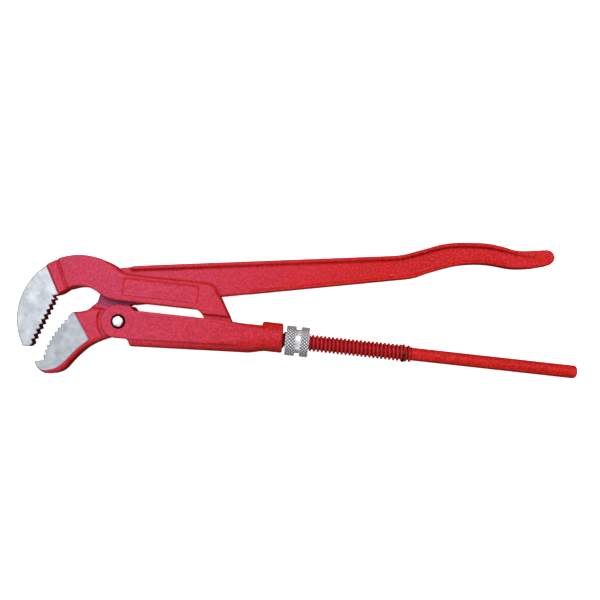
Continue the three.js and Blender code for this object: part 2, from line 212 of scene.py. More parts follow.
def add_world():
    world = bpy.data.worlds.new("studio")
    world.use_nodes = True
    tree = world.node_tree
    direction = tree.nodes.new("ShaderNodeTexCoord").outputs["Generated"]
    split = tree.nodes.new("ShaderNodeSeparateXYZ")
    tree.links.new(direction, split.inputs["Vector"])
    ramp = tree.nodes.new("ShaderNodeValToRGB")
    for element, (position, colour) in zip(ramp.color_ramp.elements, WORLD_RAMP):
        element.position = position
        element.color = colour
    across = tree.nodes.new("ShaderNodeMapRange")
    for key, number in WORLD_FADE.items():
        across.inputs[key].default_value = number
    tree.links.new(split.outputs["Z"], ramp.inputs["Fac"])
    tree.links.new(split.outputs["X"], across.inputs["Value"])
    tree.links.new(ramp.outputs["Color"], tree.nodes["Background"].inputs["Color"])
    tree.links.new(across.outputs["Result"], tree.nodes["Background"].inputs["Strength"])
    bpy.context.scene.world = world
    bpy.context.scene.view_settings.view_transform = "Standard"


# ---- outlines ----


def on_circle(centre, radius, angle):
    """The point of a circle at an angle in degrees."""
    turn = math.radians(angle)
    return centre[0] + radius * math.cos(turn), centre[1] + radius * math.sin(turn)


class Pen:
    """Draws a closed outline in the tool plane as a dense row of points."""

    def __init__(self, x, y):
        self.points = [(x, y)]

    def line(self, *ends):
        self.points.extend(ends)
        return self

    def curve(self, bend, end, steps=12):
        """A quadratic curve that is pulled towards bend."""
        start = self.points[-1]
        for i in range(1, steps + 1):
            t = i / steps
            shares = ((1 - t) ** 2, 2 * t * (1 - t), t * t)
            self.points.append(tuple(np.dot(shares, (start, bend, end))))
        return self

    def arc(self, centre, radius, start, end, steps=48):
        """An arc about centre between two angles in degrees."""
        angles = np.linspace(start, end, steps + 1)
        self.points.extend(on_circle(centre, radius, angle) for angle in angles)
        return self

    def through(self, *ends, steps=8):
        """A smooth curve from the last point through each of the ends."""
        knots = np.array([self.points[-1], *ends], float)
        padded = np.vstack([knots[0], knots, knots[-1]])
        for a, b, c, d in zip(padded, padded[1:], padded[2:], padded[3:]):
            square = 2 * a - 5 * b + 4 * c - d
            cube = 3 * b - a - 3 * c + d
            for t in np.linspace(1 / steps, 1, steps):
                self.points.append(tuple((2 * b + (c - a) * t + square * t**2 + cube * t**3) / 2))
        return self

    def teeth(self, start, end, bow, depth, side):
        """Saw teeth whose tips lie on a slightly bowed line."""
        a, b = np.array(start), np.array(end)
        along = b - a
        length = np.hypot(*along)
        out = side * np.array([-along[1], along[0]]) / length
        count = round(length / TOOTH_PITCH)
        for i in range(count):
            for share, sunk in ((i / count, 0), ((i + 0.5) / count, depth)):
                bowed = bow * 4 * share * (1 - share)
                self.points.append(tuple(a + along * share + out * (bowed - sunk)))
        return self.line(tuple(b))


# ---- sampled fields ----


class Space:
    """A box of sample points round a piece.

    Fields on it are distances in millimetres, negative inside.
    """

    def __init__(self, low, high, step):
        self.step = step
        self.low = np.array(low, float) - 2 * step
        counts = np.ceil((np.array(high) + 2 * step - self.low) / step).astype(int) + 1
        x, y, z = [self.low[i] + step * np.arange(counts[i]) for i in range(3)]
        self.x = x[:, None, None].astype(np.float32)
        self.y = y[None, :, None].astype(np.float32)
        self.z = z[None, None, :].astype(np.float32)
        self.height = np.abs(self.z)

    def outline(self, pen):
        """Distance to an outline in the tool plane."""
        return outline_distance(pen, self.x[:, :, 0], self.y[:, :, 0])[:, :, None]

    def round_rivet(self, radius):
        """Distance to a cylinder about the rivet's axis."""
        return np.hypot(self.x - RIVET_X, self.y) - radius

    def round_bar(self, radius, lift=0.0):
        """Distance to a cylinder along the bar, lifted towards the lever."""
        return np.hypot(self.y - lift, self.z) - radius


def outline_distance(pen, x, y):
    """Signed distance from the places x, y to a closed outline, negative inside."""
    x, y = np.broadcast_arrays(x, y)
    nearest = np.full(x.shape, np.inf, np.float32)
    inside = np.zeros(x.shape, bool)
    for (ax, ay), (bx, by) in zip(pen.points, [*pen.points[1:], pen.points[0]]):
        ex, ey = bx - ax, by - ay
        length = ex * ex + ey * ey
        if length < 1e-12:
            continue
        t = np.clip(((x - ax) * ex + (y - ay) * ey) / length, 0, 1)
        nearest = np.minimum(nearest, (x - ax - t * ex) ** 2 + (y - ay - t * ey) ** 2)
        if ay != by:
            inside ^= ((ay > y) != (by > y)) & (x < ax + (y - ay) * ex / ey)
    return np.where(inside, -1, 1) * np.sqrt(nearest)


def line_distance(x, y, start, end):
    """Distance to the right of a line that runs from start to end."""
    dx, dy = end[0] - start[0], end[1] - start[1]
    return ((x - start[0]) * dy - (y - start[1]) * dx) / math.hypot(dx, dy)


def ease(value, low, high):
    """Runs smoothly from 0 at low to 1 at high, which may be below low."""
    t = np.clip((value - low) / (high - low), 0, 1)
    return t * t * (3 - 2 * t)


def window(value, start, full, fading, end):
    """Rises smoothly from 0 at start to 1 at full, and falls from 1 at fading to 0 at end."""
    return ease(value, start, full) * ease(value, end, fading)


def both(a, b, radius):
    """Inside both fields, with the edge between them rounded."""
    a, b = a + radius, b + radius
    return np.minimum(np.maximum(a, b), 0) + np.hypot(np.maximum(a, 0), np.maximum(b, 0)) - radius


def either(a, b, radius):
    """Inside either field, with a fillet between them."""
    return -both(-a, -b, radius)


def cut(a, b, radius=0.4):
    """Inside a and outside b, with a rounded edge."""
    return both(a, -b, radius)


CELL_CORNERS = list(product((0, 1), repeat=3))
CELL_EDGES = [
    (a, b) for a, b in product(CELL_CORNERS, repeat=2) if a < b and np.abs(np.subtract(a, b)).sum() == 1
]


def skin(space, field):
    """Vertices in tool millimetres and quads on the field's surface, one vertex in each crossed cell."""
    inside = field < 0
    nx, ny, nz = np.array(field.shape) - 1
    count = sum(inside[i : nx + i, j : ny + j, k : nz + k].astype(np.int8) for i, j, k in CELL_CORNERS)
    cells = np.argwhere((count > 0) & (count < len(CELL_CORNERS)))
    index = np.full(count.shape, -1, np.int64)
    index[tuple(cells.T)] = np.arange(len(cells))
    total = np.zeros((len(cells), 3))
    hits = np.zeros(len(cells))
    for a, b in CELL_EDGES:
        at_a = field[tuple((cells + a).T)].astype(float)
        at_b = field[tuple((cells + b).T)].astype(float)
        crossed = (at_a < 0) != (at_b < 0)
        share = at_a[crossed] / (at_a[crossed] - at_b[crossed])
        total[crossed] += np.array(a) + share[:, None] * (np.array(b) - np.array(a))
        hits[crossed] += 1
    vertices = space.low + space.step * (cells + total / hits[:, None])
    quads = [crossing_quads(inside, index, axis) for axis in range(3)]
    return vertices, np.vstack(quads)


def crossing_quads(inside, index, axis):
    """One quad round each grid edge along an axis that the surface crosses, facing out."""
    first = np.take(inside, range(inside.shape[axis] - 1), axis)
    second = np.take(inside, range(1, inside.shape[axis]), axis)
    edges = np.argwhere(first != second)
    leaving = first[tuple(edges.T)]
    u, v = np.eye(3, dtype=int)[[(axis + 1) % 3, (axis + 2) % 3]]
    quads = np.stack([index[tuple((edges - s).T)] for s in (u * 0, u, u + v, v)], axis=1)
    quads[~leaving] = quads[~leaving, ::-1]
    return quads


# ---- meshes ----


def piece_from(name, vertices, faces, material, marks=None):
    """A smooth-shaded object from tool millimetres. marks are values at the vertices, by name."""
    mesh = bpy.data.meshes.new(name)
    mesh.from_pydata(in_row(vertices).tolist(), [], [tuple(face) for face in faces])
    mesh.shade_smooth()
    for key, values in (marks or {}).items():
        attribute = mesh.attributes.new(key, "FLOAT", "POINT")
        attribute.data.foreach_set("value", np.asarray(values, np.float32))
    mesh.materials.append(material)
    piece = bpy.data.objects.new(name, mesh)
    bpy.context.scene.collection.objects.link(piece)
    return piece


def place(piece, body, slot, *nodes):
    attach(piece, body)
    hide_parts(*nodes)


def turned(xs, angles, radius):
    """Rings about the X axis, with radius[i, j] at xs[i] and angles[j], closed by a fan at each end."""
    x = np.broadcast_to(np.asarray(xs)[:, None], radius.shape)
    rings = np.stack([x, radius * np.cos(angles), radius * np.sin(angles)], axis=-1)
    rows, around = radius.shape
    vertices = [*rings.reshape(-1, 3), (xs[0], 0, 0), (xs[-1], 0, 0)]
    faces = []
    for i in range(rows - 1):
        for j in range(around):
            k = (j + 1) % around
            faces.append((i * around + j, i * around + k, (i + 1) * around + k, (i + 1) * around + j))
    for j in range(around):
        k = (j + 1) % around
        faces.append((rows * around, k, j))
        faces.append((rows * around + 1, (rows - 1) * around + j, (rows - 1) * around + k))
    return np.array(vertices), faces


def ring_grid(x, radius, angles):
    """A closed ring about the X axis: x[i, j] and radius[i, j] run round its section at each angle."""
    points = np.stack([x, radius * np.cos(angles), radius * np.sin(angles)], axis=-1)
    rows, around = radius.shape
    faces = []
    for i in range(rows):
        n = (i + 1) % rows
        for j in range(around):
            k = (j + 1) % around
            faces.append((i * around + j, i * around + k, n * around + k, n * around + j))
    return points.reshape(-1, 3), faces


def open_ring(x, radius, angles):
    """A ring about the X axis from the first angle to the last, with a flat face at each end."""
    points, faces = ring_grid(x, radius, angles)
    around = len(angles)
    faces = [face for k, face in enumerate(faces) if k % around != around - 1]
    rows = len(x)
    faces.append(tuple(range(0, rows * around, around)))
    faces.append(tuple(reversed(range(around - 1, rows * around, around))))
    return points, faces


# ---- materials ----


def new_material(name):
    material = bpy.data.materials.new(name)
    material.use_nodes = True
    return material, material.node_tree.nodes["Principled BSDF"]


class Nodes:
    """Adds nodes to a material and links them."""

    def __init__(self, material):
        self.tree = material.node_tree
        self.place = self.add("ShaderNodeTexCoord").outputs["Object"]

    def add(self, kind, **values):
        node = self.tree.nodes.new(kind)
        for key, value in values.items():
            setattr(node, key, value)
        return node

    def link(self, source, target):
        self.tree.links.new(source, target)

    def noise(self, size, detail=3.0, roughness=0.55, stretch=(1, 1, 1), seed=0.0):
        """Noise with features of about size millimetres, longer along an axis with a stretch below 1."""
        mapping = self.add("ShaderNodeMapping")
        mapping.inputs["Scale"].default_value = stretch
        mapping.inputs["Location"].default_value = (seed, seed * 0.7, seed * 0.3)
        self.link(self.place, mapping.inputs["Vector"])
        node = self.add("ShaderNodeTexNoise")
        node.inputs["Scale"].default_value = 1 / (size * MM)
        node.inputs["Detail"].default_value = detail
        node.inputs["Roughness"].default_value = roughness
        self.link(mapping.outputs["Vector"], node.inputs["Vector"])
        return node.outputs["Fac"]

    def along_tool(self):
        """The place along the tool in metres."""
        split = self.add("ShaderNodeSeparateXYZ")
        self.link(self.place, split.inputs["Vector"])
        return split.outputs["X"]

    def mark(self, name):
        """The value that the mesh holds at each vertex under this name."""
        return self.add("ShaderNodeAttribute", attribute_name=name).outputs["Fac"]

    def spread(self, value, low, high, to_low=0.0, to_high=1.0, smooth=False):
        """The value with low and high moved to to_low and to_high, and held there past them."""
        node = self.add("ShaderNodeMapRange", interpolation_type="SMOOTHSTEP" if smooth else "LINEAR")
        limits = {"From Min": low, "From Max": high, "To Min": to_low, "To Max": to_high}
        for key, number in limits.items():
            node.inputs[key].default_value = number
        self.link(value, node.inputs["Value"])
        return node.outputs["Result"]

    def total(self, a, b):
        node = self.add("ShaderNodeMath", operation="ADD")
        self.link(a, node.inputs[0])
        self.link(b, node.inputs[1])
        return node.outputs[0]

    def mix(self, share, a, b, kind="RGBA"):
        """The value between a and b, each a colour or a socket of the type kind, at share."""
        node = self.add("ShaderNodeMix", data_type="FLOAT" if kind == "VALUE" else kind)
        self.link(share, node.inputs["Factor"])
        for key, value in (("A", a), ("B", b)):
            socket = next(s for s in node.inputs if s.name == key and s.type == kind)
            if isinstance(value, tuple):
                socket.default_value = (*value, 1)
            else:
                self.link(value, socket)
        return next(s for s in node.outputs if s.type == kind)

    def bump(self, height, depth, after=None):
        """Bumps of depth millimetres, added to the ones before them."""
        node = self.add("ShaderNodeBump")
        node.inputs["Distance"].default_value = depth * MM
        node.inputs["Strength"].default_value = 1.0
        self.link(height, node.inputs["Height"])
        if after is not None:
            self.link(after, node.inputs["Normal"])
        return node.outputs["Normal"]


PAINT_DARK = (0.49, 0.007, 0.003)
PAINT_BRIGHT = (0.56, 0.010, 0.004)
PAINT_SPECK = (0.78, 0.032, 0.016)
# The colour of painted shade on the paint.
PAINT_SHADE = (0.055, 0.006, 0.014)
PAINT_RIM = (0.12, 0.004, 0.012)
# Painted reflection colour: the blue tint of the cool light's sheen on the paint.
PAINT_SHEEN_TINT = (0.45, 0.42, 1.0, 1)
# Painted sheen: the paint's specular level is high at the jaws and low towards the handle ends, in
# place of the cool light's reflection fading along the tool. Two places in metres and two levels.
PAINTED_SHEEN_FADE = (-0.15, 0.06, 0.85, 0.22)


def paint(name, grain=0.4, ground=None):
    """Semi-gloss red paint over a forged skin, with painted shade where the shade mark nears 1.

    grain is the depth of its bumps. ground is the brightness of the bare steel that shows where the
    mark ground is above 0, with a darker rim in front of it.
    """
    material, shader = new_material(name)
    nodes = Nodes(material)
    cloud = nodes.noise(30, detail=2)
    speck = nodes.noise(1.5, detail=3, roughness=0.75)
    tone = nodes.mix(nodes.spread(cloud, 0.35, 0.65), PAINT_DARK, PAINT_BRIGHT)
    colour = nodes.mix(nodes.spread(speck, 0.44, 0.60), tone, PAINT_SPECK)
    # Painted shade: dark where the shade mark is high.
    colour = nodes.mix(nodes.mark("painted_shade"), colour, PAINT_SHADE)
    gloss = nodes.spread(nodes.noise(4, detail=4), 0.3, 0.7, 0.34, 0.5)
    normal = nodes.bump(speck, grain)
    normal = nodes.bump(nodes.noise(5, detail=2), 0.12, after=normal)
    if ground:
        share = nodes.spread(nodes.mark("ground"), -0.05, 0.15)
        rim = nodes.spread(nodes.mark("ground"), -0.5, 0.0, smooth=True)
        steel_colour, steel_gloss, steel_normal = ground_steel(nodes, ground)
        colour = nodes.mix(share, nodes.mix(rim, colour, PAINT_RIM), steel_colour)
        gloss = nodes.mix(share, gloss, steel_gloss, kind="VALUE")
        normal = nodes.mix(share, normal, steel_normal, kind="VECTOR")
        nodes.link(share, shader.inputs["Metallic"])
    # Painted sheen: the specular level follows the place along the tool.
    sheen = nodes.spread(nodes.along_tool(), *PAINTED_SHEEN_FADE, smooth=True)
    nodes.link(colour, shader.inputs["Base Color"])
    nodes.link(gloss, shader.inputs["Roughness"])
    nodes.link(normal, shader.inputs["Normal"])
    nodes.link(sheen, shader.inputs["Specular IOR Level"])
    shader.inputs["Specular Tint"].default_value = PAINT_SHEEN_TINT
    return material


# Each metal's darkest and brightest tone.
GROUND_STEEL = ((0.56, 0.59, 0.63), (0.76, 0.79, 0.83))
SPRING_STEEL = ((0.05, 0.024, 0.015), (0.13, 0.07, 0.04))
CHROME = ((0.88, 0.89, 0.93), (0.97, 0.98, 1.0))
POLISHED_STEEL = ((0.04, 0.045, 0.05), (0.95, 0.95, 0.97))
# The colour of painted shade on metal.
METAL_SHADE = (0.02, 0.02, 0.025)
# How bright the ground flanks of the two jaws are. The lever's is darker: painted shade on the same ground
# steel.
HOOK_BRIGHTNESS = 0.62
LEVER_BRIGHTNESS = 0.49


def ground_steel(nodes, brightness):
    """Colour, roughness and normal of a hand-ground flank: cloudy, with fine scratches."""
    cloud = nodes.noise(7, detail=5, roughness=0.6, seed=0.3)
    grains = nodes.noise(0.9, detail=2, roughness=0.7, seed=0.4)
    scratch = nodes.noise(0.8, detail=3, roughness=0.6, stretch=(1.0, 0.12, 1.0), seed=0.1)
    tones = [tuple(brightness * part for part in tone) for tone in GROUND_STEEL]
    cloudy = nodes.spread(cloud, 0.3, 0.7, 0.0, 0.45)
    grainy = nodes.spread(grains, 0.35, 0.65, 0.0, 0.55)
    colour = nodes.mix(nodes.total(cloudy, grainy), *tones)
    gloss = nodes.spread(cloud, 0.3, 0.7, 0.52, 0.36)
    normal = nodes.bump(scratch, 0.03)
    normal = nodes.bump(nodes.noise(5, detail=3, seed=0.2), 0.15, after=normal)
    return colour, gloss, normal


def metal(name, tones, gloss, size=1.5, depth=0.01, painted_shade=False, metallic=1.0):
    """Bare or plated metal with a slightly uneven colour, gloss and surface.

    gloss holds the limits of its roughness. With the shade flag on, it is darkened with painted shade where
    the shade mark nears 1.
    """
    material, shader = new_material(name)
    nodes = Nodes(material)
    patch = nodes.noise(size, detail=4, roughness=0.6)
    colour = nodes.mix(nodes.spread(patch, 0.3, 0.7), *tones)
    if painted_shade:
        # Painted shade: dark where the shade mark is high.
        colour = nodes.mix(nodes.mark("painted_shade"), colour, METAL_SHADE)
    nodes.link(colour, shader.inputs["Base Color"])
    nodes.link(nodes.spread(patch, 0.3, 0.7, *gloss), shader.inputs["Roughness"])
    nodes.link(nodes.bump(patch, depth), shader.inputs["Normal"])
    shader.inputs["Metallic"].default_value = metallic
    return material


# ---- the hook jaw ----

GROUND_LINE = ((-47.3, 16.0), (-58.4, 36.0))
STEP_LINE = ((-37.1, 9.0), (-55.1, 49.0))
HOOK_TEETH = ((-48.8, 11.4), (-62, -23))
HOOK_TOOTH_DEPTH = 2.2
HOOK_TOP_END_ANGLE = 54

# Half thicknesses in front of the step and on the ground flank.
BAND_HALF = 7.7
HOOK_GROUND_HALF = 5.0

# Where the step rises, counted from its line, and the cove at its foot.
STEP_RISE = (1.9, 3.2)
COVE_PLACE = 1.2
COVE_WIDTH = 1.1
COVE_DEPTH = 1.2
GROUND_BLEND = 2.0

PANEL_LOW = (1.3, 19.8)
PANEL_HIGH = (57.3, 32.7)
PANEL_CORNER = 2.0
PANEL_DEPTH = 1.0
PANEL_WALL = (0.9, -1.1)

# Radii of the edges, and where the rounder one along the shank's top begins.
HOOK_EDGE = 1.3
SHANK_TOP_EDGE = 3.5
HOOK_GROUND_EDGE = 0.4
KNEE_EDGE = 0.5
KNEE_FILLET = 0.8
SLOT_CORNER = 0.1
SLOT_EDGE = 0.5
ROUNDER_ALONG = (-30, 5)
ROUNDER_UP = (24, 30)

# The strip of paint along the ground flank's rim, how far the bare steel wraps over its edge and how
# sharply it ends there, and the painted shade in the teeth between the two flanks.
PAINT_STRIP = 0.5
HOOK_GROUND_WRAP = 0.4
WRAP_SHARPNESS = 3
TOOTH_SHADE = 0.85
TOOTH_SHADE_FADE = 0.5
TOOTH_SHADE_DEPTH = (3.4, 2.4)
TOOTH_SHADE_TOP = (13, 10)


def hook_outline():
    tip_angle = 180 - math.degrees(math.asin((HOOK_TIP_Y - HOOK_CENTRE[1]) / HOOK_RADIUS))
    throat_start = on_circle(THROAT_CENTRE, THROAT_RADIUS, THROAT_START_ANGLE)
    pen = Pen(*on_circle(HOOK_CENTRE, HOOK_RADIUS, tip_angle))
    pen.arc(HOOK_CENTRE, HOOK_RADIUS, tip_angle, HOOK_TOP_END_ANGLE)
    pen.curve((2, SHANK_TOP), (7, SHANK_TOP))
    pen.line((60, SHANK_TOP))
    pen.curve((67.5, SHANK_TOP), (70.5, 31.2))
    pen.line((82, KNEE_STEP_Y), (61.2, KNEE_STEP_Y))
    pen.curve((58.9, SHANK_BOTTOM), (53.8, SHANK_BOTTOM))
    pen.line((-2, SHANK_BOTTOM))
    pen.curve((-9, SHANK_BOTTOM), throat_start)
    pen.arc(THROAT_CENTRE, THROAT_RADIUS, THROAT_START_ANGLE, THROAT_END_ANGLE)
    pen.line((-46.3, 15.4), (-51.3, 13.6))
    pen.teeth(*HOOK_TEETH, bow=0, depth=HOOK_TOOTH_DEPTH, side=1)
    return pen.line((-64.7, HOOK_TIP_Y))


def knee_outline():
    pen = Pen(59, 14.6)
    pen.curve((61.5, 12.5), (63.2, 9))
    return pen.line((63.5, KNEE_BOTTOM), (KNEE_REAR_X, KNEE_BOTTOM), (KNEE_REAR_X, 9), (80.5, 14.6))


def slot_outline():
    pen = Pen(-26.5, 0)
    pen.line((57, 0), (57, 12.8), (90, 15), (90, 60))
    return pen.line((-13, 60), (-17, 39.5), (-23, 30), (-26.5, 14))


def panel_outline():
    low_x, low_y = np.array(PANEL_LOW) + PANEL_CORNER
    high_x, high_y = np.array(PANEL_HIGH) - PANEL_CORNER
    pen = Pen(low_x, low_y - PANEL_CORNER)
    corners = ((high_x, low_y), (high_x, high_y), (low_x, high_y), (low_x, low_y))
    for corner, start in zip(corners, (-90, 0, 90, 180)):
        pen.arc(corner, PANEL_CORNER, start, start + 90, steps=6)
    return pen


def hook_half(space):
    """Half the hook's thickness: the shank with its panel, the cove, the band and the ground flank."""
    behind_step = line_distance(space.x, space.y, *STEP_LINE)
    behind_ground = line_distance(space.x, space.y, *GROUND_LINE)
    half = BAND_HALF + (CHEEK_HALF - BAND_HALF) * ease(behind_step, *STEP_RISE)
    half = half - COVE_DEPTH * np.exp(-(((behind_step - COVE_PLACE) / COVE_WIDTH) ** 2))
    half = half - (BAND_HALF - HOOK_GROUND_HALF) * ease(behind_ground, GROUND_BLEND, 0)
    return half - PANEL_DEPTH * ease(space.outline(panel_outline()), *PANEL_WALL)


def hook_edge(space):
    """The radius of the hook's edges: rounder along the shank's top, sharper on the ground flank."""
    on_shank = ease(space.x, *ROUNDER_ALONG) * ease(space.y, *ROUNDER_UP)
    on_ground = ease(line_distance(space.x, space.y, *GROUND_LINE), GROUND_BLEND, 0)
    return HOOK_EDGE + (SHANK_TOP_EDGE - HOOK_EDGE) * on_shank - (HOOK_EDGE - HOOK_GROUND_EDGE) * on_ground


def ground_mark(flank, z, half):
    """Above 0 where flank is above 0 and the surface is further than half from the mid plane."""
    return np.minimum(flank, WRAP_SHARPNESS * (np.abs(z) - half))


def hook_marks(x, y, z):
    """Where the hook is ground, and the painted shade between its teeth."""
    to_rim = HOOK_RADIUS - PAINT_STRIP - np.hypot(x - HOOK_CENTRE[0], y - HOOK_CENTRE[1])
    flank = np.minimum(-line_distance(x, y, *GROUND_LINE), to_rim)
    # Painted shade on the tooth faces between the two flanks.
    between_flanks = ease(np.abs(z), HOOK_GROUND_HALF, HOOK_GROUND_HALF - TOOTH_SHADE_FADE)
    from_tips = np.abs(line_distance(x, y, *HOOK_TEETH))
    tooth_shade = TOOTH_SHADE * between_flanks * ease(from_tips, *TOOTH_SHADE_DEPTH) * ease(y, *TOOTH_SHADE_TOP)
    return {"ground": ground_mark(flank, z, HOOK_GROUND_HALF - HOOK_GROUND_WRAP), "painted_shade": tooth_shade}


def build_hook_jaw():
    """The hook with its forked shank, and the knee that holds the bar."""
    space = Space(HOOK_LOW, HOOK_HIGH, HOOK_SAMPLING)
    body = both(space.outline(hook_outline()), space.height - hook_half(space), hook_edge(space))
    knee = both(space.outline(knee_outline()), space.height - EYE_HALF, KNEE_EDGE)
    body = either(body, knee, KNEE_FILLET)
    slot = both(space.outline(slot_outline()), space.height - SLOT_HALF, SLOT_CORNER)
    body = cut(body, slot, SLOT_EDGE)
    socket = np.maximum(space.round_bar(SOCKET_RADIUS), KNEE_REAR_X - SOCKET_DEPTH - space.x)
    body = cut(body, socket)
    vertices, faces = skin(space, body)
    finish = paint("painted_hook", ground=HOOK_BRIGHTNESS)
    piece = piece_from("hook_jaw_forging", vertices, faces, finish, hook_marks(*vertices.T))
    place(piece, "hook_and_bar", "painted_forging", "hook_jaw")


# ---- the lever with the lower jaw ----

TOP_EDGE = (
    (204, 72.5), (218.2, 77.8), (238.1, 85), (263, 87.9), (277.5, 87), (290.5, 85.1), (310.7, 87.9)
)
BOTTOM_EDGE = ((302.8, 73.8), (287.9, 71.8), (268, 72.8), (248, 70), (228.2, 62.7), (216, 57.1))
FLANGE_BEND = (19.2, 44.4)
STRAIGHT_TOP_END = (188, 69.7)
STRAIGHT_UNDERSIDE_END = (204, 54.2)
HANDLE_END = ((316.2, 87.9), (317.3, 82.6), (316.8, 78.4), (313, 76.6))
TOP_FLANGE_X = 4.8
BOTTOM_FLANGE_X = 93.0
FLANGE_TAPER = 3.0
WEB_FRONT_X = 10.8

# The web grows to nearly the flanges' thickness along the handle's end.
WEB_GROWTH = (266, 308)
WEB_END_HALF = JAW_HALF - 0.2

LOWER_TEETH = ((-37.5, -0.1), (-53.6, -34.8))
LOWER_TOOTH_DEPTH = 2.0
LOWER_TEETH_BOW = 2.9

# Radii of the edges, and of the fillets where the parts of the forging meet.
WEB_EDGE = 1.4
TOP_FLANGE_EDGE = 1.5
BOTTOM_FLANGE_EDGE = 1.0
NECK_FILLET = 6.0
TOP_FLANGE_FILLET = 1.6
BOTTOM_FLANGE_FILLET = 1.4
JAW_GROUND_EDGE = 0.5
JAW_PAINTED_EDGE = 2.9
JAW_EDGE_CHANGE = (-1.0, 2.0)
JAW_FILLET = 1.0
EYE_EDGE = 0.5
EYE_FILLET = 0.8
EYE_HOLE_EDGE = 0.3

# The walls of the ground part and of the relief that turns inside the yoke's ears.
GROUND_WALL = (0.3, -0.3)
LEVER_GROUND_WRAP = 0.2
RELIEF_WALL = (1.6, -0.6)
RELIEF_HALF = EYE_HALF - 0.4

# Painted shade, its strength and where it begins and ends: between the cheeks, beside the ear, and a
# painted shadow in the corner under the handle's top flange.
SLOT_SHADE = 0.5
SLOT_SHADE_GAIN = 0.35
SLOT_SHADE_X = (18, -2)
SLOT_SHADE_Y = (8, 13, 24, 30)
SLOT_SHADE_Z = (4.8, 4.2)
SLOT_SHADE_GROWTH = (-12, 8)
EAR_SHADE = 0.8
EAR_SHADE_REACH = (EAR_RADIUS + 1.6, EAR_RADIUS + 0.4)
EAR_SHADE_X = (6, 2)
CORNER_SHADOW = 0.38
CORNER_SHADOW_PLACE = 0.3
CORNER_SHADOW_REACH = (0.9, 0.2)
CORNER_SHADOW_X = (190, 215, 298, 306)
CORNER_SHADOW_Z = (JAW_HALF - 0.4, JAW_HALF - 1.0)


def straight_underside(x):
    return STRAIGHT_UNDERSIDE_END[1] + (x - STRAIGHT_UNDERSIDE_END[0]) * LEVER_RISE


def handle_end(pen):
    pen.curve(HANDLE_END[0], HANDLE_END[1])
    return pen.curve(HANDLE_END[2], HANDLE_END[3])


def web_outline():
    pen = Pen(-11, -4)
    pen.line((-20, 5.4))
    pen.curve((-17.6, 12), (-16.6, 19))
    pen.curve((-12.5, 33.4), (-2.7, 40.3))
    pen.line(FLANGE_BEND, STRAIGHT_TOP_END)
    pen.through(*TOP_EDGE)
    handle_end(pen)
    pen.line(BOTTOM_EDGE[0])
    pen.through(*BOTTOM_EDGE[1:], STRAIGHT_UNDERSIDE_END)
    pen.line((WEB_FRONT_X, straight_underside(WEB_FRONT_X)))
    pen.curve((7.8, 14), (6.4, 11.5))
    return pen.line((8, 0))


def top_flange_outline():
    pen = Pen(TOP_FLANGE_X, 41.4)
    pen.line((TOP_FLANGE_X + 1, 42.2), FLANGE_BEND, STRAIGHT_TOP_END)
    pen.through(*TOP_EDGE)
    handle_end(pen)
    pen.line((304, 80.8))
    lowered = [(x, y - FLANGE_TOP) for x, y in reversed((STRAIGHT_TOP_END, *TOP_EDGE[:-1]))]
    pen.through(*lowered)
    pen.line((FLANGE_BEND[0], FLANGE_BEND[1] - FLANGE_TOP))
    return pen.line((TOP_FLANGE_X + 1, 39.3), (TOP_FLANGE_X, 40))


def bottom_flange_outline():
    pen = Pen(BOTTOM_FLANGE_X, straight_underside(BOTTOM_FLANGE_X))
    pen.line(STRAIGHT_UNDERSIDE_END)
    pen.through(*reversed(BOTTOM_EDGE))
    pen.line(HANDLE_END[-1], (308, 80))
    raised = [(x, y + FLANGE_BOTTOM) for x, y in (*BOTTOM_EDGE, STRAIGHT_UNDERSIDE_END)]
    pen.line(raised[0])
    pen.through(*raised[1:])
    full_x = BOTTOM_FLANGE_X + FLANGE_TAPER
    return pen.line((full_x, straight_underside(full_x) + FLANGE_BOTTOM))


def lower_jaw_outline():
    pen = Pen(-34.2, 3.6)
    pen.teeth(*LOWER_TEETH, bow=LOWER_TEETH_BOW, depth=LOWER_TOOTH_DEPTH, side=-1)
    pen.line((-58.7, -36.2))
    pen.curve((-55.6, -43.4), (-50, -44.2))
    pen.curve((-40.5, -44.5), (-35.5, -38.2))
    pen.curve((-29.4, -28.9), (-21.7, -21.5))
    pen.curve((-14, -15.4), (-4.9, -12.3))
    pen.line((0, -6), (-6, 8), (-20.7, 8.8))
    return pen.curve((-24, 4.8), (-34.2, 3.6))


def ground_outline():
    """The ground part of the lower jaw's flank, open towards the teeth."""
    pen = Pen(-33.5, 4)
    pen.line((-20, -15.5))
    pen.through((-27.8, -23.0), (-35.3, -32.5), (-40.7, -38.1), (-46.5, -41.0), (-53, -41.7), (-60, -38))
    return pen.line((-70, -36), (-45, 12))


def lever_handle(space, silhouette, top_outline):
    """The web and the two flanges of the I section."""
    web_half = WEB_HALF + (WEB_END_HALF - WEB_HALF) * ease(space.x, *WEB_GROWTH)
    web = both(silhouette, space.height - web_half, WEB_EDGE)
    top = both(top_outline, space.height - JAW_HALF, TOP_FLANGE_EDGE)
    bottom_outline = space.outline(bottom_flange_outline())
    bottom = both(bottom_outline, space.height - BOTTOM_FLANGE_HALF, BOTTOM_FLANGE_EDGE)
    return either(either(web, top, TOP_FLANGE_FILLET), bottom, BOTTOM_FLANGE_FILLET)


def lever_jaw(space, jaw_outline):
    """The toothed jaw, ground on both flanks and thinner inside the yoke's ears."""
    ground = space.outline(ground_outline())
    relief = ease(space.round_rivet(JAW_RELIEF_RADIUS), *RELIEF_WALL)
    half = JAW_HALF - (JAW_HALF - GROUND_HALF) * ease(ground, *GROUND_WALL)
    half = half - (JAW_HALF - RELIEF_HALF) * relief
    edge = JAW_GROUND_EDGE + (JAW_PAINTED_EDGE - JAW_GROUND_EDGE) * ease(ground, *JAW_EDGE_CHANGE)
    return both(jaw_outline, space.height - half, edge)


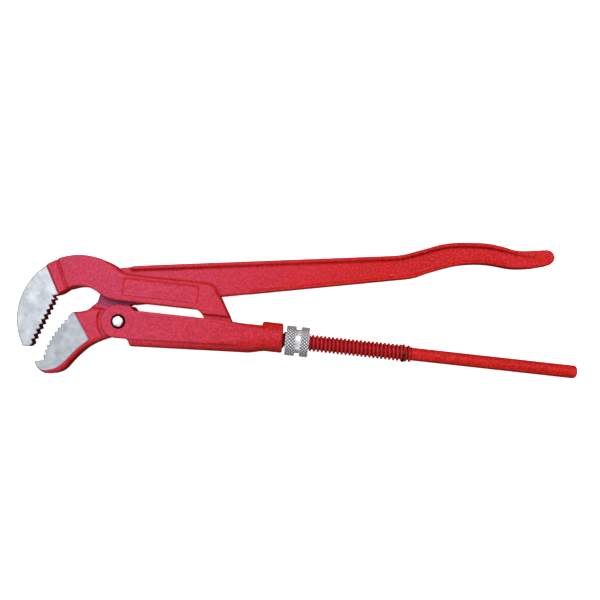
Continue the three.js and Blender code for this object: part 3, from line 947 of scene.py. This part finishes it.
def lever_marks(x, y, z):
    """Where the jaw is ground, and the painted shade."""
    height = np.abs(z)
    # Painted shade between the cheeks and beside the ear, and painted shadow under the top flange.
    in_slot = ease(x, *SLOT_SHADE_X) * window(y, *SLOT_SHADE_Y) * ease(height, *SLOT_SHADE_Z)
    in_slot = in_slot * (SLOT_SHADE + SLOT_SHADE_GAIN * ease(x, *SLOT_SHADE_GROWTH))
    beside_ear = EAR_SHADE * ease(np.hypot(x, y), *EAR_SHADE_REACH) * ease(x, *EAR_SHADE_X)
    from_corner = np.abs(outline_distance(top_flange_outline(), x, y) - CORNER_SHADOW_PLACE)
    in_corner = CORNER_SHADOW * ease(from_corner, *CORNER_SHADOW_REACH) * window(x, *CORNER_SHADOW_X)
    in_corner = in_corner * ease(height, *CORNER_SHADOW_Z)
    flank = -outline_distance(ground_outline(), x, y)
    return {
        "ground": ground_mark(flank, z, GROUND_HALF - LEVER_GROUND_WRAP),
        "painted_shade": np.maximum(np.maximum(in_slot, beside_ear), in_corner),
    }


def build_lever():
    space = Space(LEVER_LOW, LEVER_HIGH, LEVER_SAMPLING)
    jaw_outline = space.outline(lower_jaw_outline())
    top_outline = space.outline(top_flange_outline())
    silhouette = either(space.outline(web_outline()), jaw_outline, NECK_FILLET)
    widest = np.minimum(silhouette, top_outline)
    round_eye = space.round_rivet(EYE_RADIUS)
    handle = np.maximum(lever_handle(space, silhouette, top_outline), widest)
    eye = both(round_eye, space.height - EYE_HALF, EYE_EDGE)
    body = either(either(handle, lever_jaw(space, jaw_outline), JAW_FILLET), eye, EYE_FILLET)
    body = np.maximum(body, np.minimum(widest, round_eye))
    body = cut(body, space.round_rivet(RIVET_HOLE_RADIUS), EYE_HOLE_EDGE)
    vertices, faces = skin(space, body)
    finish = paint("painted_lever", ground=LEVER_BRIGHTNESS)
    piece = piece_from("lower_jaw_lever_forging", vertices, faces, finish, lever_marks(*vertices.T))
    place(piece, "lever", "painted_forging", "lower_jaw_lever")


# ---- the yoke ----

# The underside slopes from below the ears, then runs up to the collar.
UNDERSIDE_X = 13.0
UNDERSIDE_LIFT = 2.1
UNDERSIDE_LIFT_X = (97, 112)

# Along the trough's foot the flank steps in by a little, with painted shade along the step.
FOOT_STEP = 0.6
FOOT_HEIGHT = 5.2
FOOT_WALL = (5.6, 4.8)
FOOT_END_X = (100, 85)
FOOT_SHADE = 0.3
FOOT_SHADE_REACH = (0.9, 0.4)

# The edges along the yoke grow towards the collar: the radius in front, what it gains and where.
LOW_CORNER = (4.6, 5.4, (25, 108))
TOP_CORNER = (1.0, 4.5, (70, 108))
TOP_DIP = 0.4
TOP_DIP_X = (83, 90)
EAR_SLOPE = ((8.6, EAR_RADIUS), (11.4, YOKE_TOP))

NOSE_X = 11.8
YOKE_EDGE = 0.9
COLLAR_OVERLAP = 2.0
COLLAR_TILT = 0.04
COLLAR_EDGE = 1.3
COLLAR_FILLET = 0.9

# The room inside and the bore behind it, with the play round the lever's eye and the bar.
FRONT_ROOM_X = 8.3
EYE_PLAY = 1.5
BORE_PLAY = 0.4
BORE_OVERLAP = 5.0
ROOM_EDGE = 0.6
EAR_HOLE_EDGE = 0.2

# The sunk rings that the rivet's heads lie in.
SINK_RADIUS = 5.3
SINK_DEPTH = 1.2
SINK_EDGE = 0.25
# Where the painted shade in the sunk ring round each rivet head begins and where it is full.
SINK_SHADE = (5.5, 5.1)


def yoke_outline():
    """The ears and the nose. Behind them the section sets the top and the underside, inside this."""
    pen = Pen(0, -EAR_RADIUS)
    pen.arc((0, 0), EAR_RADIUS, 270, 90)
    below = UNDERSIDE_Y - 3
    rear_x = COLLAR_FRONT_X + COLLAR_OVERLAP
    pen.line((rear_x, EAR_RADIUS), (rear_x, below), (NOSE_X, below), (9.6, -14.6))
    return pen.curve((9, -12.3), (7, -12.2))


def underside(x):
    """The y of the yoke's underside."""
    return UNDERSIDE_Y + (x - UNDERSIDE_X) * UNDERSIDE_RISE + UNDERSIDE_LIFT * ease(x, *UNDERSIDE_LIFT_X)


def corner_radius(x, corner):
    """The radius of an edge along the yoke."""
    front, gain, along = corner
    return front + gain * ease(x, *along)


def yoke_section(space):
    """The yoke's rounded section: a trough in front that grows into a round rod at the collar."""
    above = space.y - underside(space.x)
    step = FOOT_STEP * ease(above, *FOOT_WALL) * ease(space.x, *FOOT_END_X)
    side = space.height - YOKE_HALF + step
    lower = both(-above, side, corner_radius(space.x, LOW_CORNER))
    top = YOKE_TOP - TOP_DIP * ease(space.x, *TOP_DIP_X)
    behind_ear = -line_distance(space.x, space.y, *EAR_SLOPE)
    upper = both(np.minimum(space.y - top, behind_ear), side, corner_radius(space.x, TOP_CORNER))
    return np.maximum(lower, upper)


def yoke_collar(space):
    """The round collar behind, whose rear face is a little out of square."""
    rear_x = YOKE_HIGH[0] - COLLAR_TILT * (space.y + COLLAR_RADIUS)
    length = np.maximum(COLLAR_FRONT_X - space.x, space.x - rear_x)
    return both(space.round_bar(COLLAR_RADIUS, lift=COLLAR_LIFT), length, COLLAR_EDGE)


def yoke_room(space):
    """The room inside: the knee's channel, the round one for the lever's eye and the open front."""
    channel = np.maximum(CHANNEL_FLOOR - space.y, space.x - CHANNEL_END_X)
    front = np.maximum(space.x - FRONT_ROOM_X, space.y)
    room = np.minimum(np.minimum(channel, space.round_rivet(EYE_RADIUS + EYE_PLAY)), front)
    return np.maximum(room, space.height - CHANNEL_HALF)


def yoke_marks(x, y, z):
    """Painted shade round the rivet's heads and along the step at the trough's foot."""
    round_head = ease(np.hypot(x - RIVET_X, y), *SINK_SHADE)
    from_step = np.abs(y - underside(x) - FOOT_HEIGHT)
    along_step = FOOT_SHADE * ease(from_step, *FOOT_SHADE_REACH) * ease(x, *FOOT_END_X)
    return {"painted_shade": np.maximum(round_head, along_step)}


def build_yoke():
    space = Space(YOKE_LOW, YOKE_HIGH, YOKE_SAMPLING)
    body = both(space.outline(yoke_outline()), yoke_section(space), YOKE_EDGE)
    body = either(body, yoke_collar(space), COLLAR_FILLET)
    bore = np.maximum(space.round_bar(THREAD_RADIUS + BORE_PLAY), CHANNEL_END_X - BORE_OVERLAP - space.x)
    sink = np.maximum(space.round_rivet(SINK_RADIUS), YOKE_HALF - SINK_DEPTH - space.height)
    body = cut(body, yoke_room(space), ROOM_EDGE)
    body = cut(body, bore, ROOM_EDGE)
    body = cut(body, space.round_rivet(RIVET_HOLE_RADIUS), EAR_HOLE_EDGE)
    body = cut(body, sink, SINK_EDGE)
    vertices, faces = skin(space, body)
    piece = piece_from("yoke_forging", vertices, faces, paint("painted_yoke"), yoke_marks(*vertices.T))
    place(piece, "yoke_link", "painted_forging", "yoke")


# ---- turned pieces ----

BAR_START_X = KNEE_REAR_X + 0.3
SPIGOT_RADIUS = 4.2
NECK_RADIUS = ROOT_RADIUS - 0.3
BAR_END_ROUND = 2.3
BAR_SIDES = 56
THREAD_STEP = 0.2
THREAD_RUN_IN = 1.5
THREAD_RUN_OUT = 1.2
# Half the width of a thread crest, as a share of half the pitch.
CREST_WIDTH = 0.68
# How far the ring's groove is open on both sides of the ring.
GROOVE_PLAY = 0.3

# Painted shade in the thread's valleys, and painted shadow on the bar next to the collar.
VALLEY_SHADE = 0.8
VALLEY_SHADE_CREST = (0.8, 0.1)
COLLAR_SHADE = 0.75
COLLAR_SHADE_REACH = (5.0, 2.0)


def thread_crest(xs, angles):
    """1 on the crest of a right-hand thread and 0 in its valley."""
    phase = (xs[:, None] / THREAD_PITCH - angles[None, :] / (2 * math.pi)) % 1
    flank = np.abs(phase - 0.5) * 2
    return np.sqrt(np.clip(1 - (flank / CREST_WIDTH) ** 2, 0, 1))


def build_bar():
    """The bar: a spigot, a right-hand thread with rounded crests, and the plain grip."""
    end = BAR_HIGH[0]
    angles = np.arange(BAR_SIDES) * 2 * math.pi / BAR_SIDES
    threaded = np.arange(BAR_START_X, THREAD_END_X + 0.6, THREAD_STEP)
    plain = np.linspace(THREAD_END_X + 1.0, end - BAR_END_ROUND - 0.1, 60)
    tip = end - BAR_END_ROUND * (1 - np.sin(np.linspace(0, 0.5 * math.pi, 9)))
    xs = np.concatenate([[BAR_LOW[0], BAR_START_X - 0.05], threaded, plain, tip])
    crest = thread_crest(xs, angles)
    run_in = ease(xs, BAR_START_X - 0.1, BAR_START_X + THREAD_RUN_IN)
    run_out = ease(xs, THREAD_END_X, THREAD_END_X - THREAD_RUN_OUT)
    fade = np.minimum(run_in, run_out)[:, None]
    base = np.where(xs < THREAD_END_X - 2, NECK_RADIUS, GRIP_RADIUS)[:, None]
    radius = base + (THREAD_ROOT + (THREAD_RADIUS - THREAD_ROOT) * crest - base) * fade
    in_groove = (xs > RING_LOW[0] - GROOVE_PLAY) & (xs < RING_HIGH[0] + GROOVE_PLAY)
    radius[in_groove] = np.minimum(radius[in_groove], ROOT_RADIUS)
    rounding = np.sqrt(np.clip(1 - ((xs - end + BAR_END_ROUND) / (BAR_END_ROUND + 0.01)) ** 2, 0, 1))
    in_tip = xs > end - BAR_END_ROUND
    radius[in_tip] = (GRIP_RADIUS - BAR_END_ROUND + BAR_END_ROUND * rounding)[in_tip, None]
    radius[:2] = SPIGOT_RADIUS
    vertices, faces = turned(xs, angles, radius)
    # Painted shade in the valleys and painted shadow beside the collar.
    valley = VALLEY_SHADE * fade * ease(crest, *VALLEY_SHADE_CREST)
    shaded = COLLAR_SHADE * ease(np.abs(xs - YOKE_HIGH[0]), *COLLAR_SHADE_REACH)[:, None]
    marks = {"painted_shade": np.append(np.maximum(valley, shaded).ravel(), (0, 0))}
    piece = piece_from("threaded_bar_red", vertices, faces, paint("painted_bar", grain=0.08), marks)
    place(piece, "hook_and_bar", "painted_bar", "threaded_bar")


# The snap ring runs from one to the other of these angles about the bar, which are counted from the
# +Y side towards +Z.
RING_ENDS = (72, 352)
# The ring's section is between an ellipse, at 1, and a rectangle, at 0.
RING_SQUARENESS = 0.55


def build_stop_ring():
    """A round-edged snap ring. Its ends leave a gap towards the lever."""
    inner, outer = ROOT_RADIUS + 0.1, RING_HIGH[2]
    middle, reach = (inner + outer) / 2, (outer - inner) / 2
    wide = (RING_HIGH[0] - RING_LOW[0]) / 2
    turns = np.linspace(0, 2 * math.pi, 25)[:-1]
    across = np.sign(np.cos(turns)) * np.abs(np.cos(turns)) ** RING_SQUARENESS
    up = np.sign(np.sin(turns)) * np.abs(np.sin(turns)) ** RING_SQUARENESS
    angles = np.radians(np.linspace(*RING_ENDS, 72))
    x = np.repeat((RING_LOW[0] + wide + wide * across)[:, None], len(angles), axis=1)
    radius = np.repeat((middle + reach * up)[:, None], len(angles), axis=1)
    vertices, faces = open_ring(x, radius, angles)
    finish = metal("oiled_spring_steel", SPRING_STEEL, gloss=(0.3, 0.5))
    piece = piece_from("stop_ring_steel", vertices, faces, finish)
    place(piece, "hook_and_bar", "blackened_steel", "stop_ring")


KNURLS = 28
KNURL_DEPTH = 0.55
KNURL_FLAT = 0.25
# Where the painted shade in the knurl's grooves begins and where it is full.
KNURL_SHADE = (0.45, 0.72)
NUT_RING = 7.4
NUT_SECOND_RING = 6.4
NUT_GROOVE_RADIUS = 8.8
NUT_CHAMFER = 0.45
NUT_BORE = THREAD_RADIUS + 0.25
BORE_CHAMFER = 0.6
ROWS_PER_RING = 48
SIDES_PER_KNURL = 8
# The fillet at each end of the groove: how far into the groove and how far above its floor.
NUT_GROOVE_CORNER = ((0, 0.5), (0, 0.3), (0.2, 0), (0.4, 0))


def knurled_ring(low, high, outer):
    """Section rows of one ring: x, radius and how deep the knurl is there."""
    rows = []
    for x in np.linspace(low, high, ROWS_PER_RING):
        from_edge = min(x - low, high - x)
        drop = max(NUT_CHAMFER - from_edge, 0)
        rows.append((x, outer - drop, min(from_edge / NUT_CHAMFER, 1)))
    return rows


def nut_section():
    """Section rows round the nut: x, radius and how deep the knurl is there."""
    x0, x1 = NUT_LOW[0], NUT_HIGH[0]
    outer = NUT_HIGH[2]
    shoulder = outer - NUT_CHAMFER
    ring_end, ring_start = x0 + NUT_RING, x1 - NUT_SECOND_RING
    rows = [(x0, NUT_BORE + BORE_CHAMFER, 0), (x0, shoulder, 0)]
    rows += knurled_ring(x0, ring_end, outer)
    rows += [(ring_end + inward, NUT_GROOVE_RADIUS + rise, 0) for inward, rise in NUT_GROOVE_CORNER]
    rows += [(ring_start - inward, NUT_GROOVE_RADIUS + rise, 0) for inward, rise in NUT_GROOVE_CORNER[::-1]]
    rows += knurled_ring(ring_start, x1, outer)
    rows += [(x1, shoulder, 0), (x1, NUT_BORE + BORE_CHAMFER, 0)]
    return [*rows, (x1 - BORE_CHAMFER, NUT_BORE, 0), (x0 + BORE_CHAMFER, NUT_BORE, 0)]


def build_nut():
    """The nut: two diamond-knurled rings with chamfered edges and a polished groove between them."""
    around = KNURLS * SIDES_PER_KNURL
    angles = np.arange(around) * 2 * math.pi / around
    x, radius, knurl = (np.array(column)[:, None] for column in zip(*nut_section()))
    turn = angles[None, :] * KNURLS / (2 * math.pi)
    slide = x * KNURLS / (2 * math.pi * NUT_HIGH[2])
    ridges = [np.abs((turn + sign * slide) % 1 - 0.5) * 2 for sign in (1, -1)]
    groove = np.clip((np.maximum(*ridges) - KNURL_FLAT) / (1 - KNURL_FLAT), 0, 1)
    radius = radius - KNURL_DEPTH * knurl * groove
    x = np.repeat(x, around, axis=1)
    vertices, faces = ring_grid(x, radius, angles)
    finish = metal("bright_chrome", CHROME, gloss=(0.22, 0.38), painted_shade=True, metallic=0.45)
    # Painted shade in the knurl's grooves.
    marks = {"painted_shade": (knurl * ease(groove, *KNURL_SHADE)).ravel()}
    piece = piece_from("adjusting_nut_chrome", vertices, faces, finish, marks)
    place(piece, "nut", "chromed_nut", "adjusting_nut")


# How far the dome of the rivet's head falls to its rim, where the rim begins as a share of the
# radius, and how far the rim's foot lies inside the yoke's flank.
RIVET_CROWN = 0.35
RIVET_RIM = 0.86
RIVET_FOOT = 1.4
RIVET_SIDES = 64


def build_rivet():
    """The rivet: a shank and a flat-domed, lightly hammered head on each side."""
    top = RIVET_HIGH[2]
    rise = top - (YOKE_HALF - RIVET_FOOT)
    shares = 1 - np.linspace(1, 0, 24) ** 1.5
    rim = np.clip((shares - RIVET_RIM) / (1 - RIVET_RIM), 0, 1)
    drop = RIVET_CROWN * shares**2 + (rise - RIVET_CROWN) * (1 - np.sqrt(1 - rim**2))
    dome_r = np.maximum(RIVET_RADIUS * shares, 0.02)
    zs = np.concatenate([drop - top, (top - drop)[::-1]])
    rs = np.concatenate([dome_r, dome_r[::-1]])
    angles = np.arange(RIVET_SIDES) * 2 * math.pi / RIVET_SIDES
    radius = np.repeat(rs[:, None], RIVET_SIDES, axis=1)
    vertices, faces = turned(zs, angles, radius)
    vertices = vertices[:, [1, 2, 0]] + (RIVET_X, 0, 0)
    finish = metal("polished_steel", POLISHED_STEEL, gloss=(0.08, 0.2), size=2.6, depth=0.3)
    piece = piece_from("pivot_rivet_polished", vertices, faces, finish)
    place(piece, "yoke_link", "polished_rivet", "pivot_rivet")


add_camera()
add_floor()
add_world()
for light in LIGHTS:
    add_light(*light)

build_hook_jaw()
build_lever()
build_yoke()
build_bar()
build_stop_ring()
build_nut()
build_rivet()
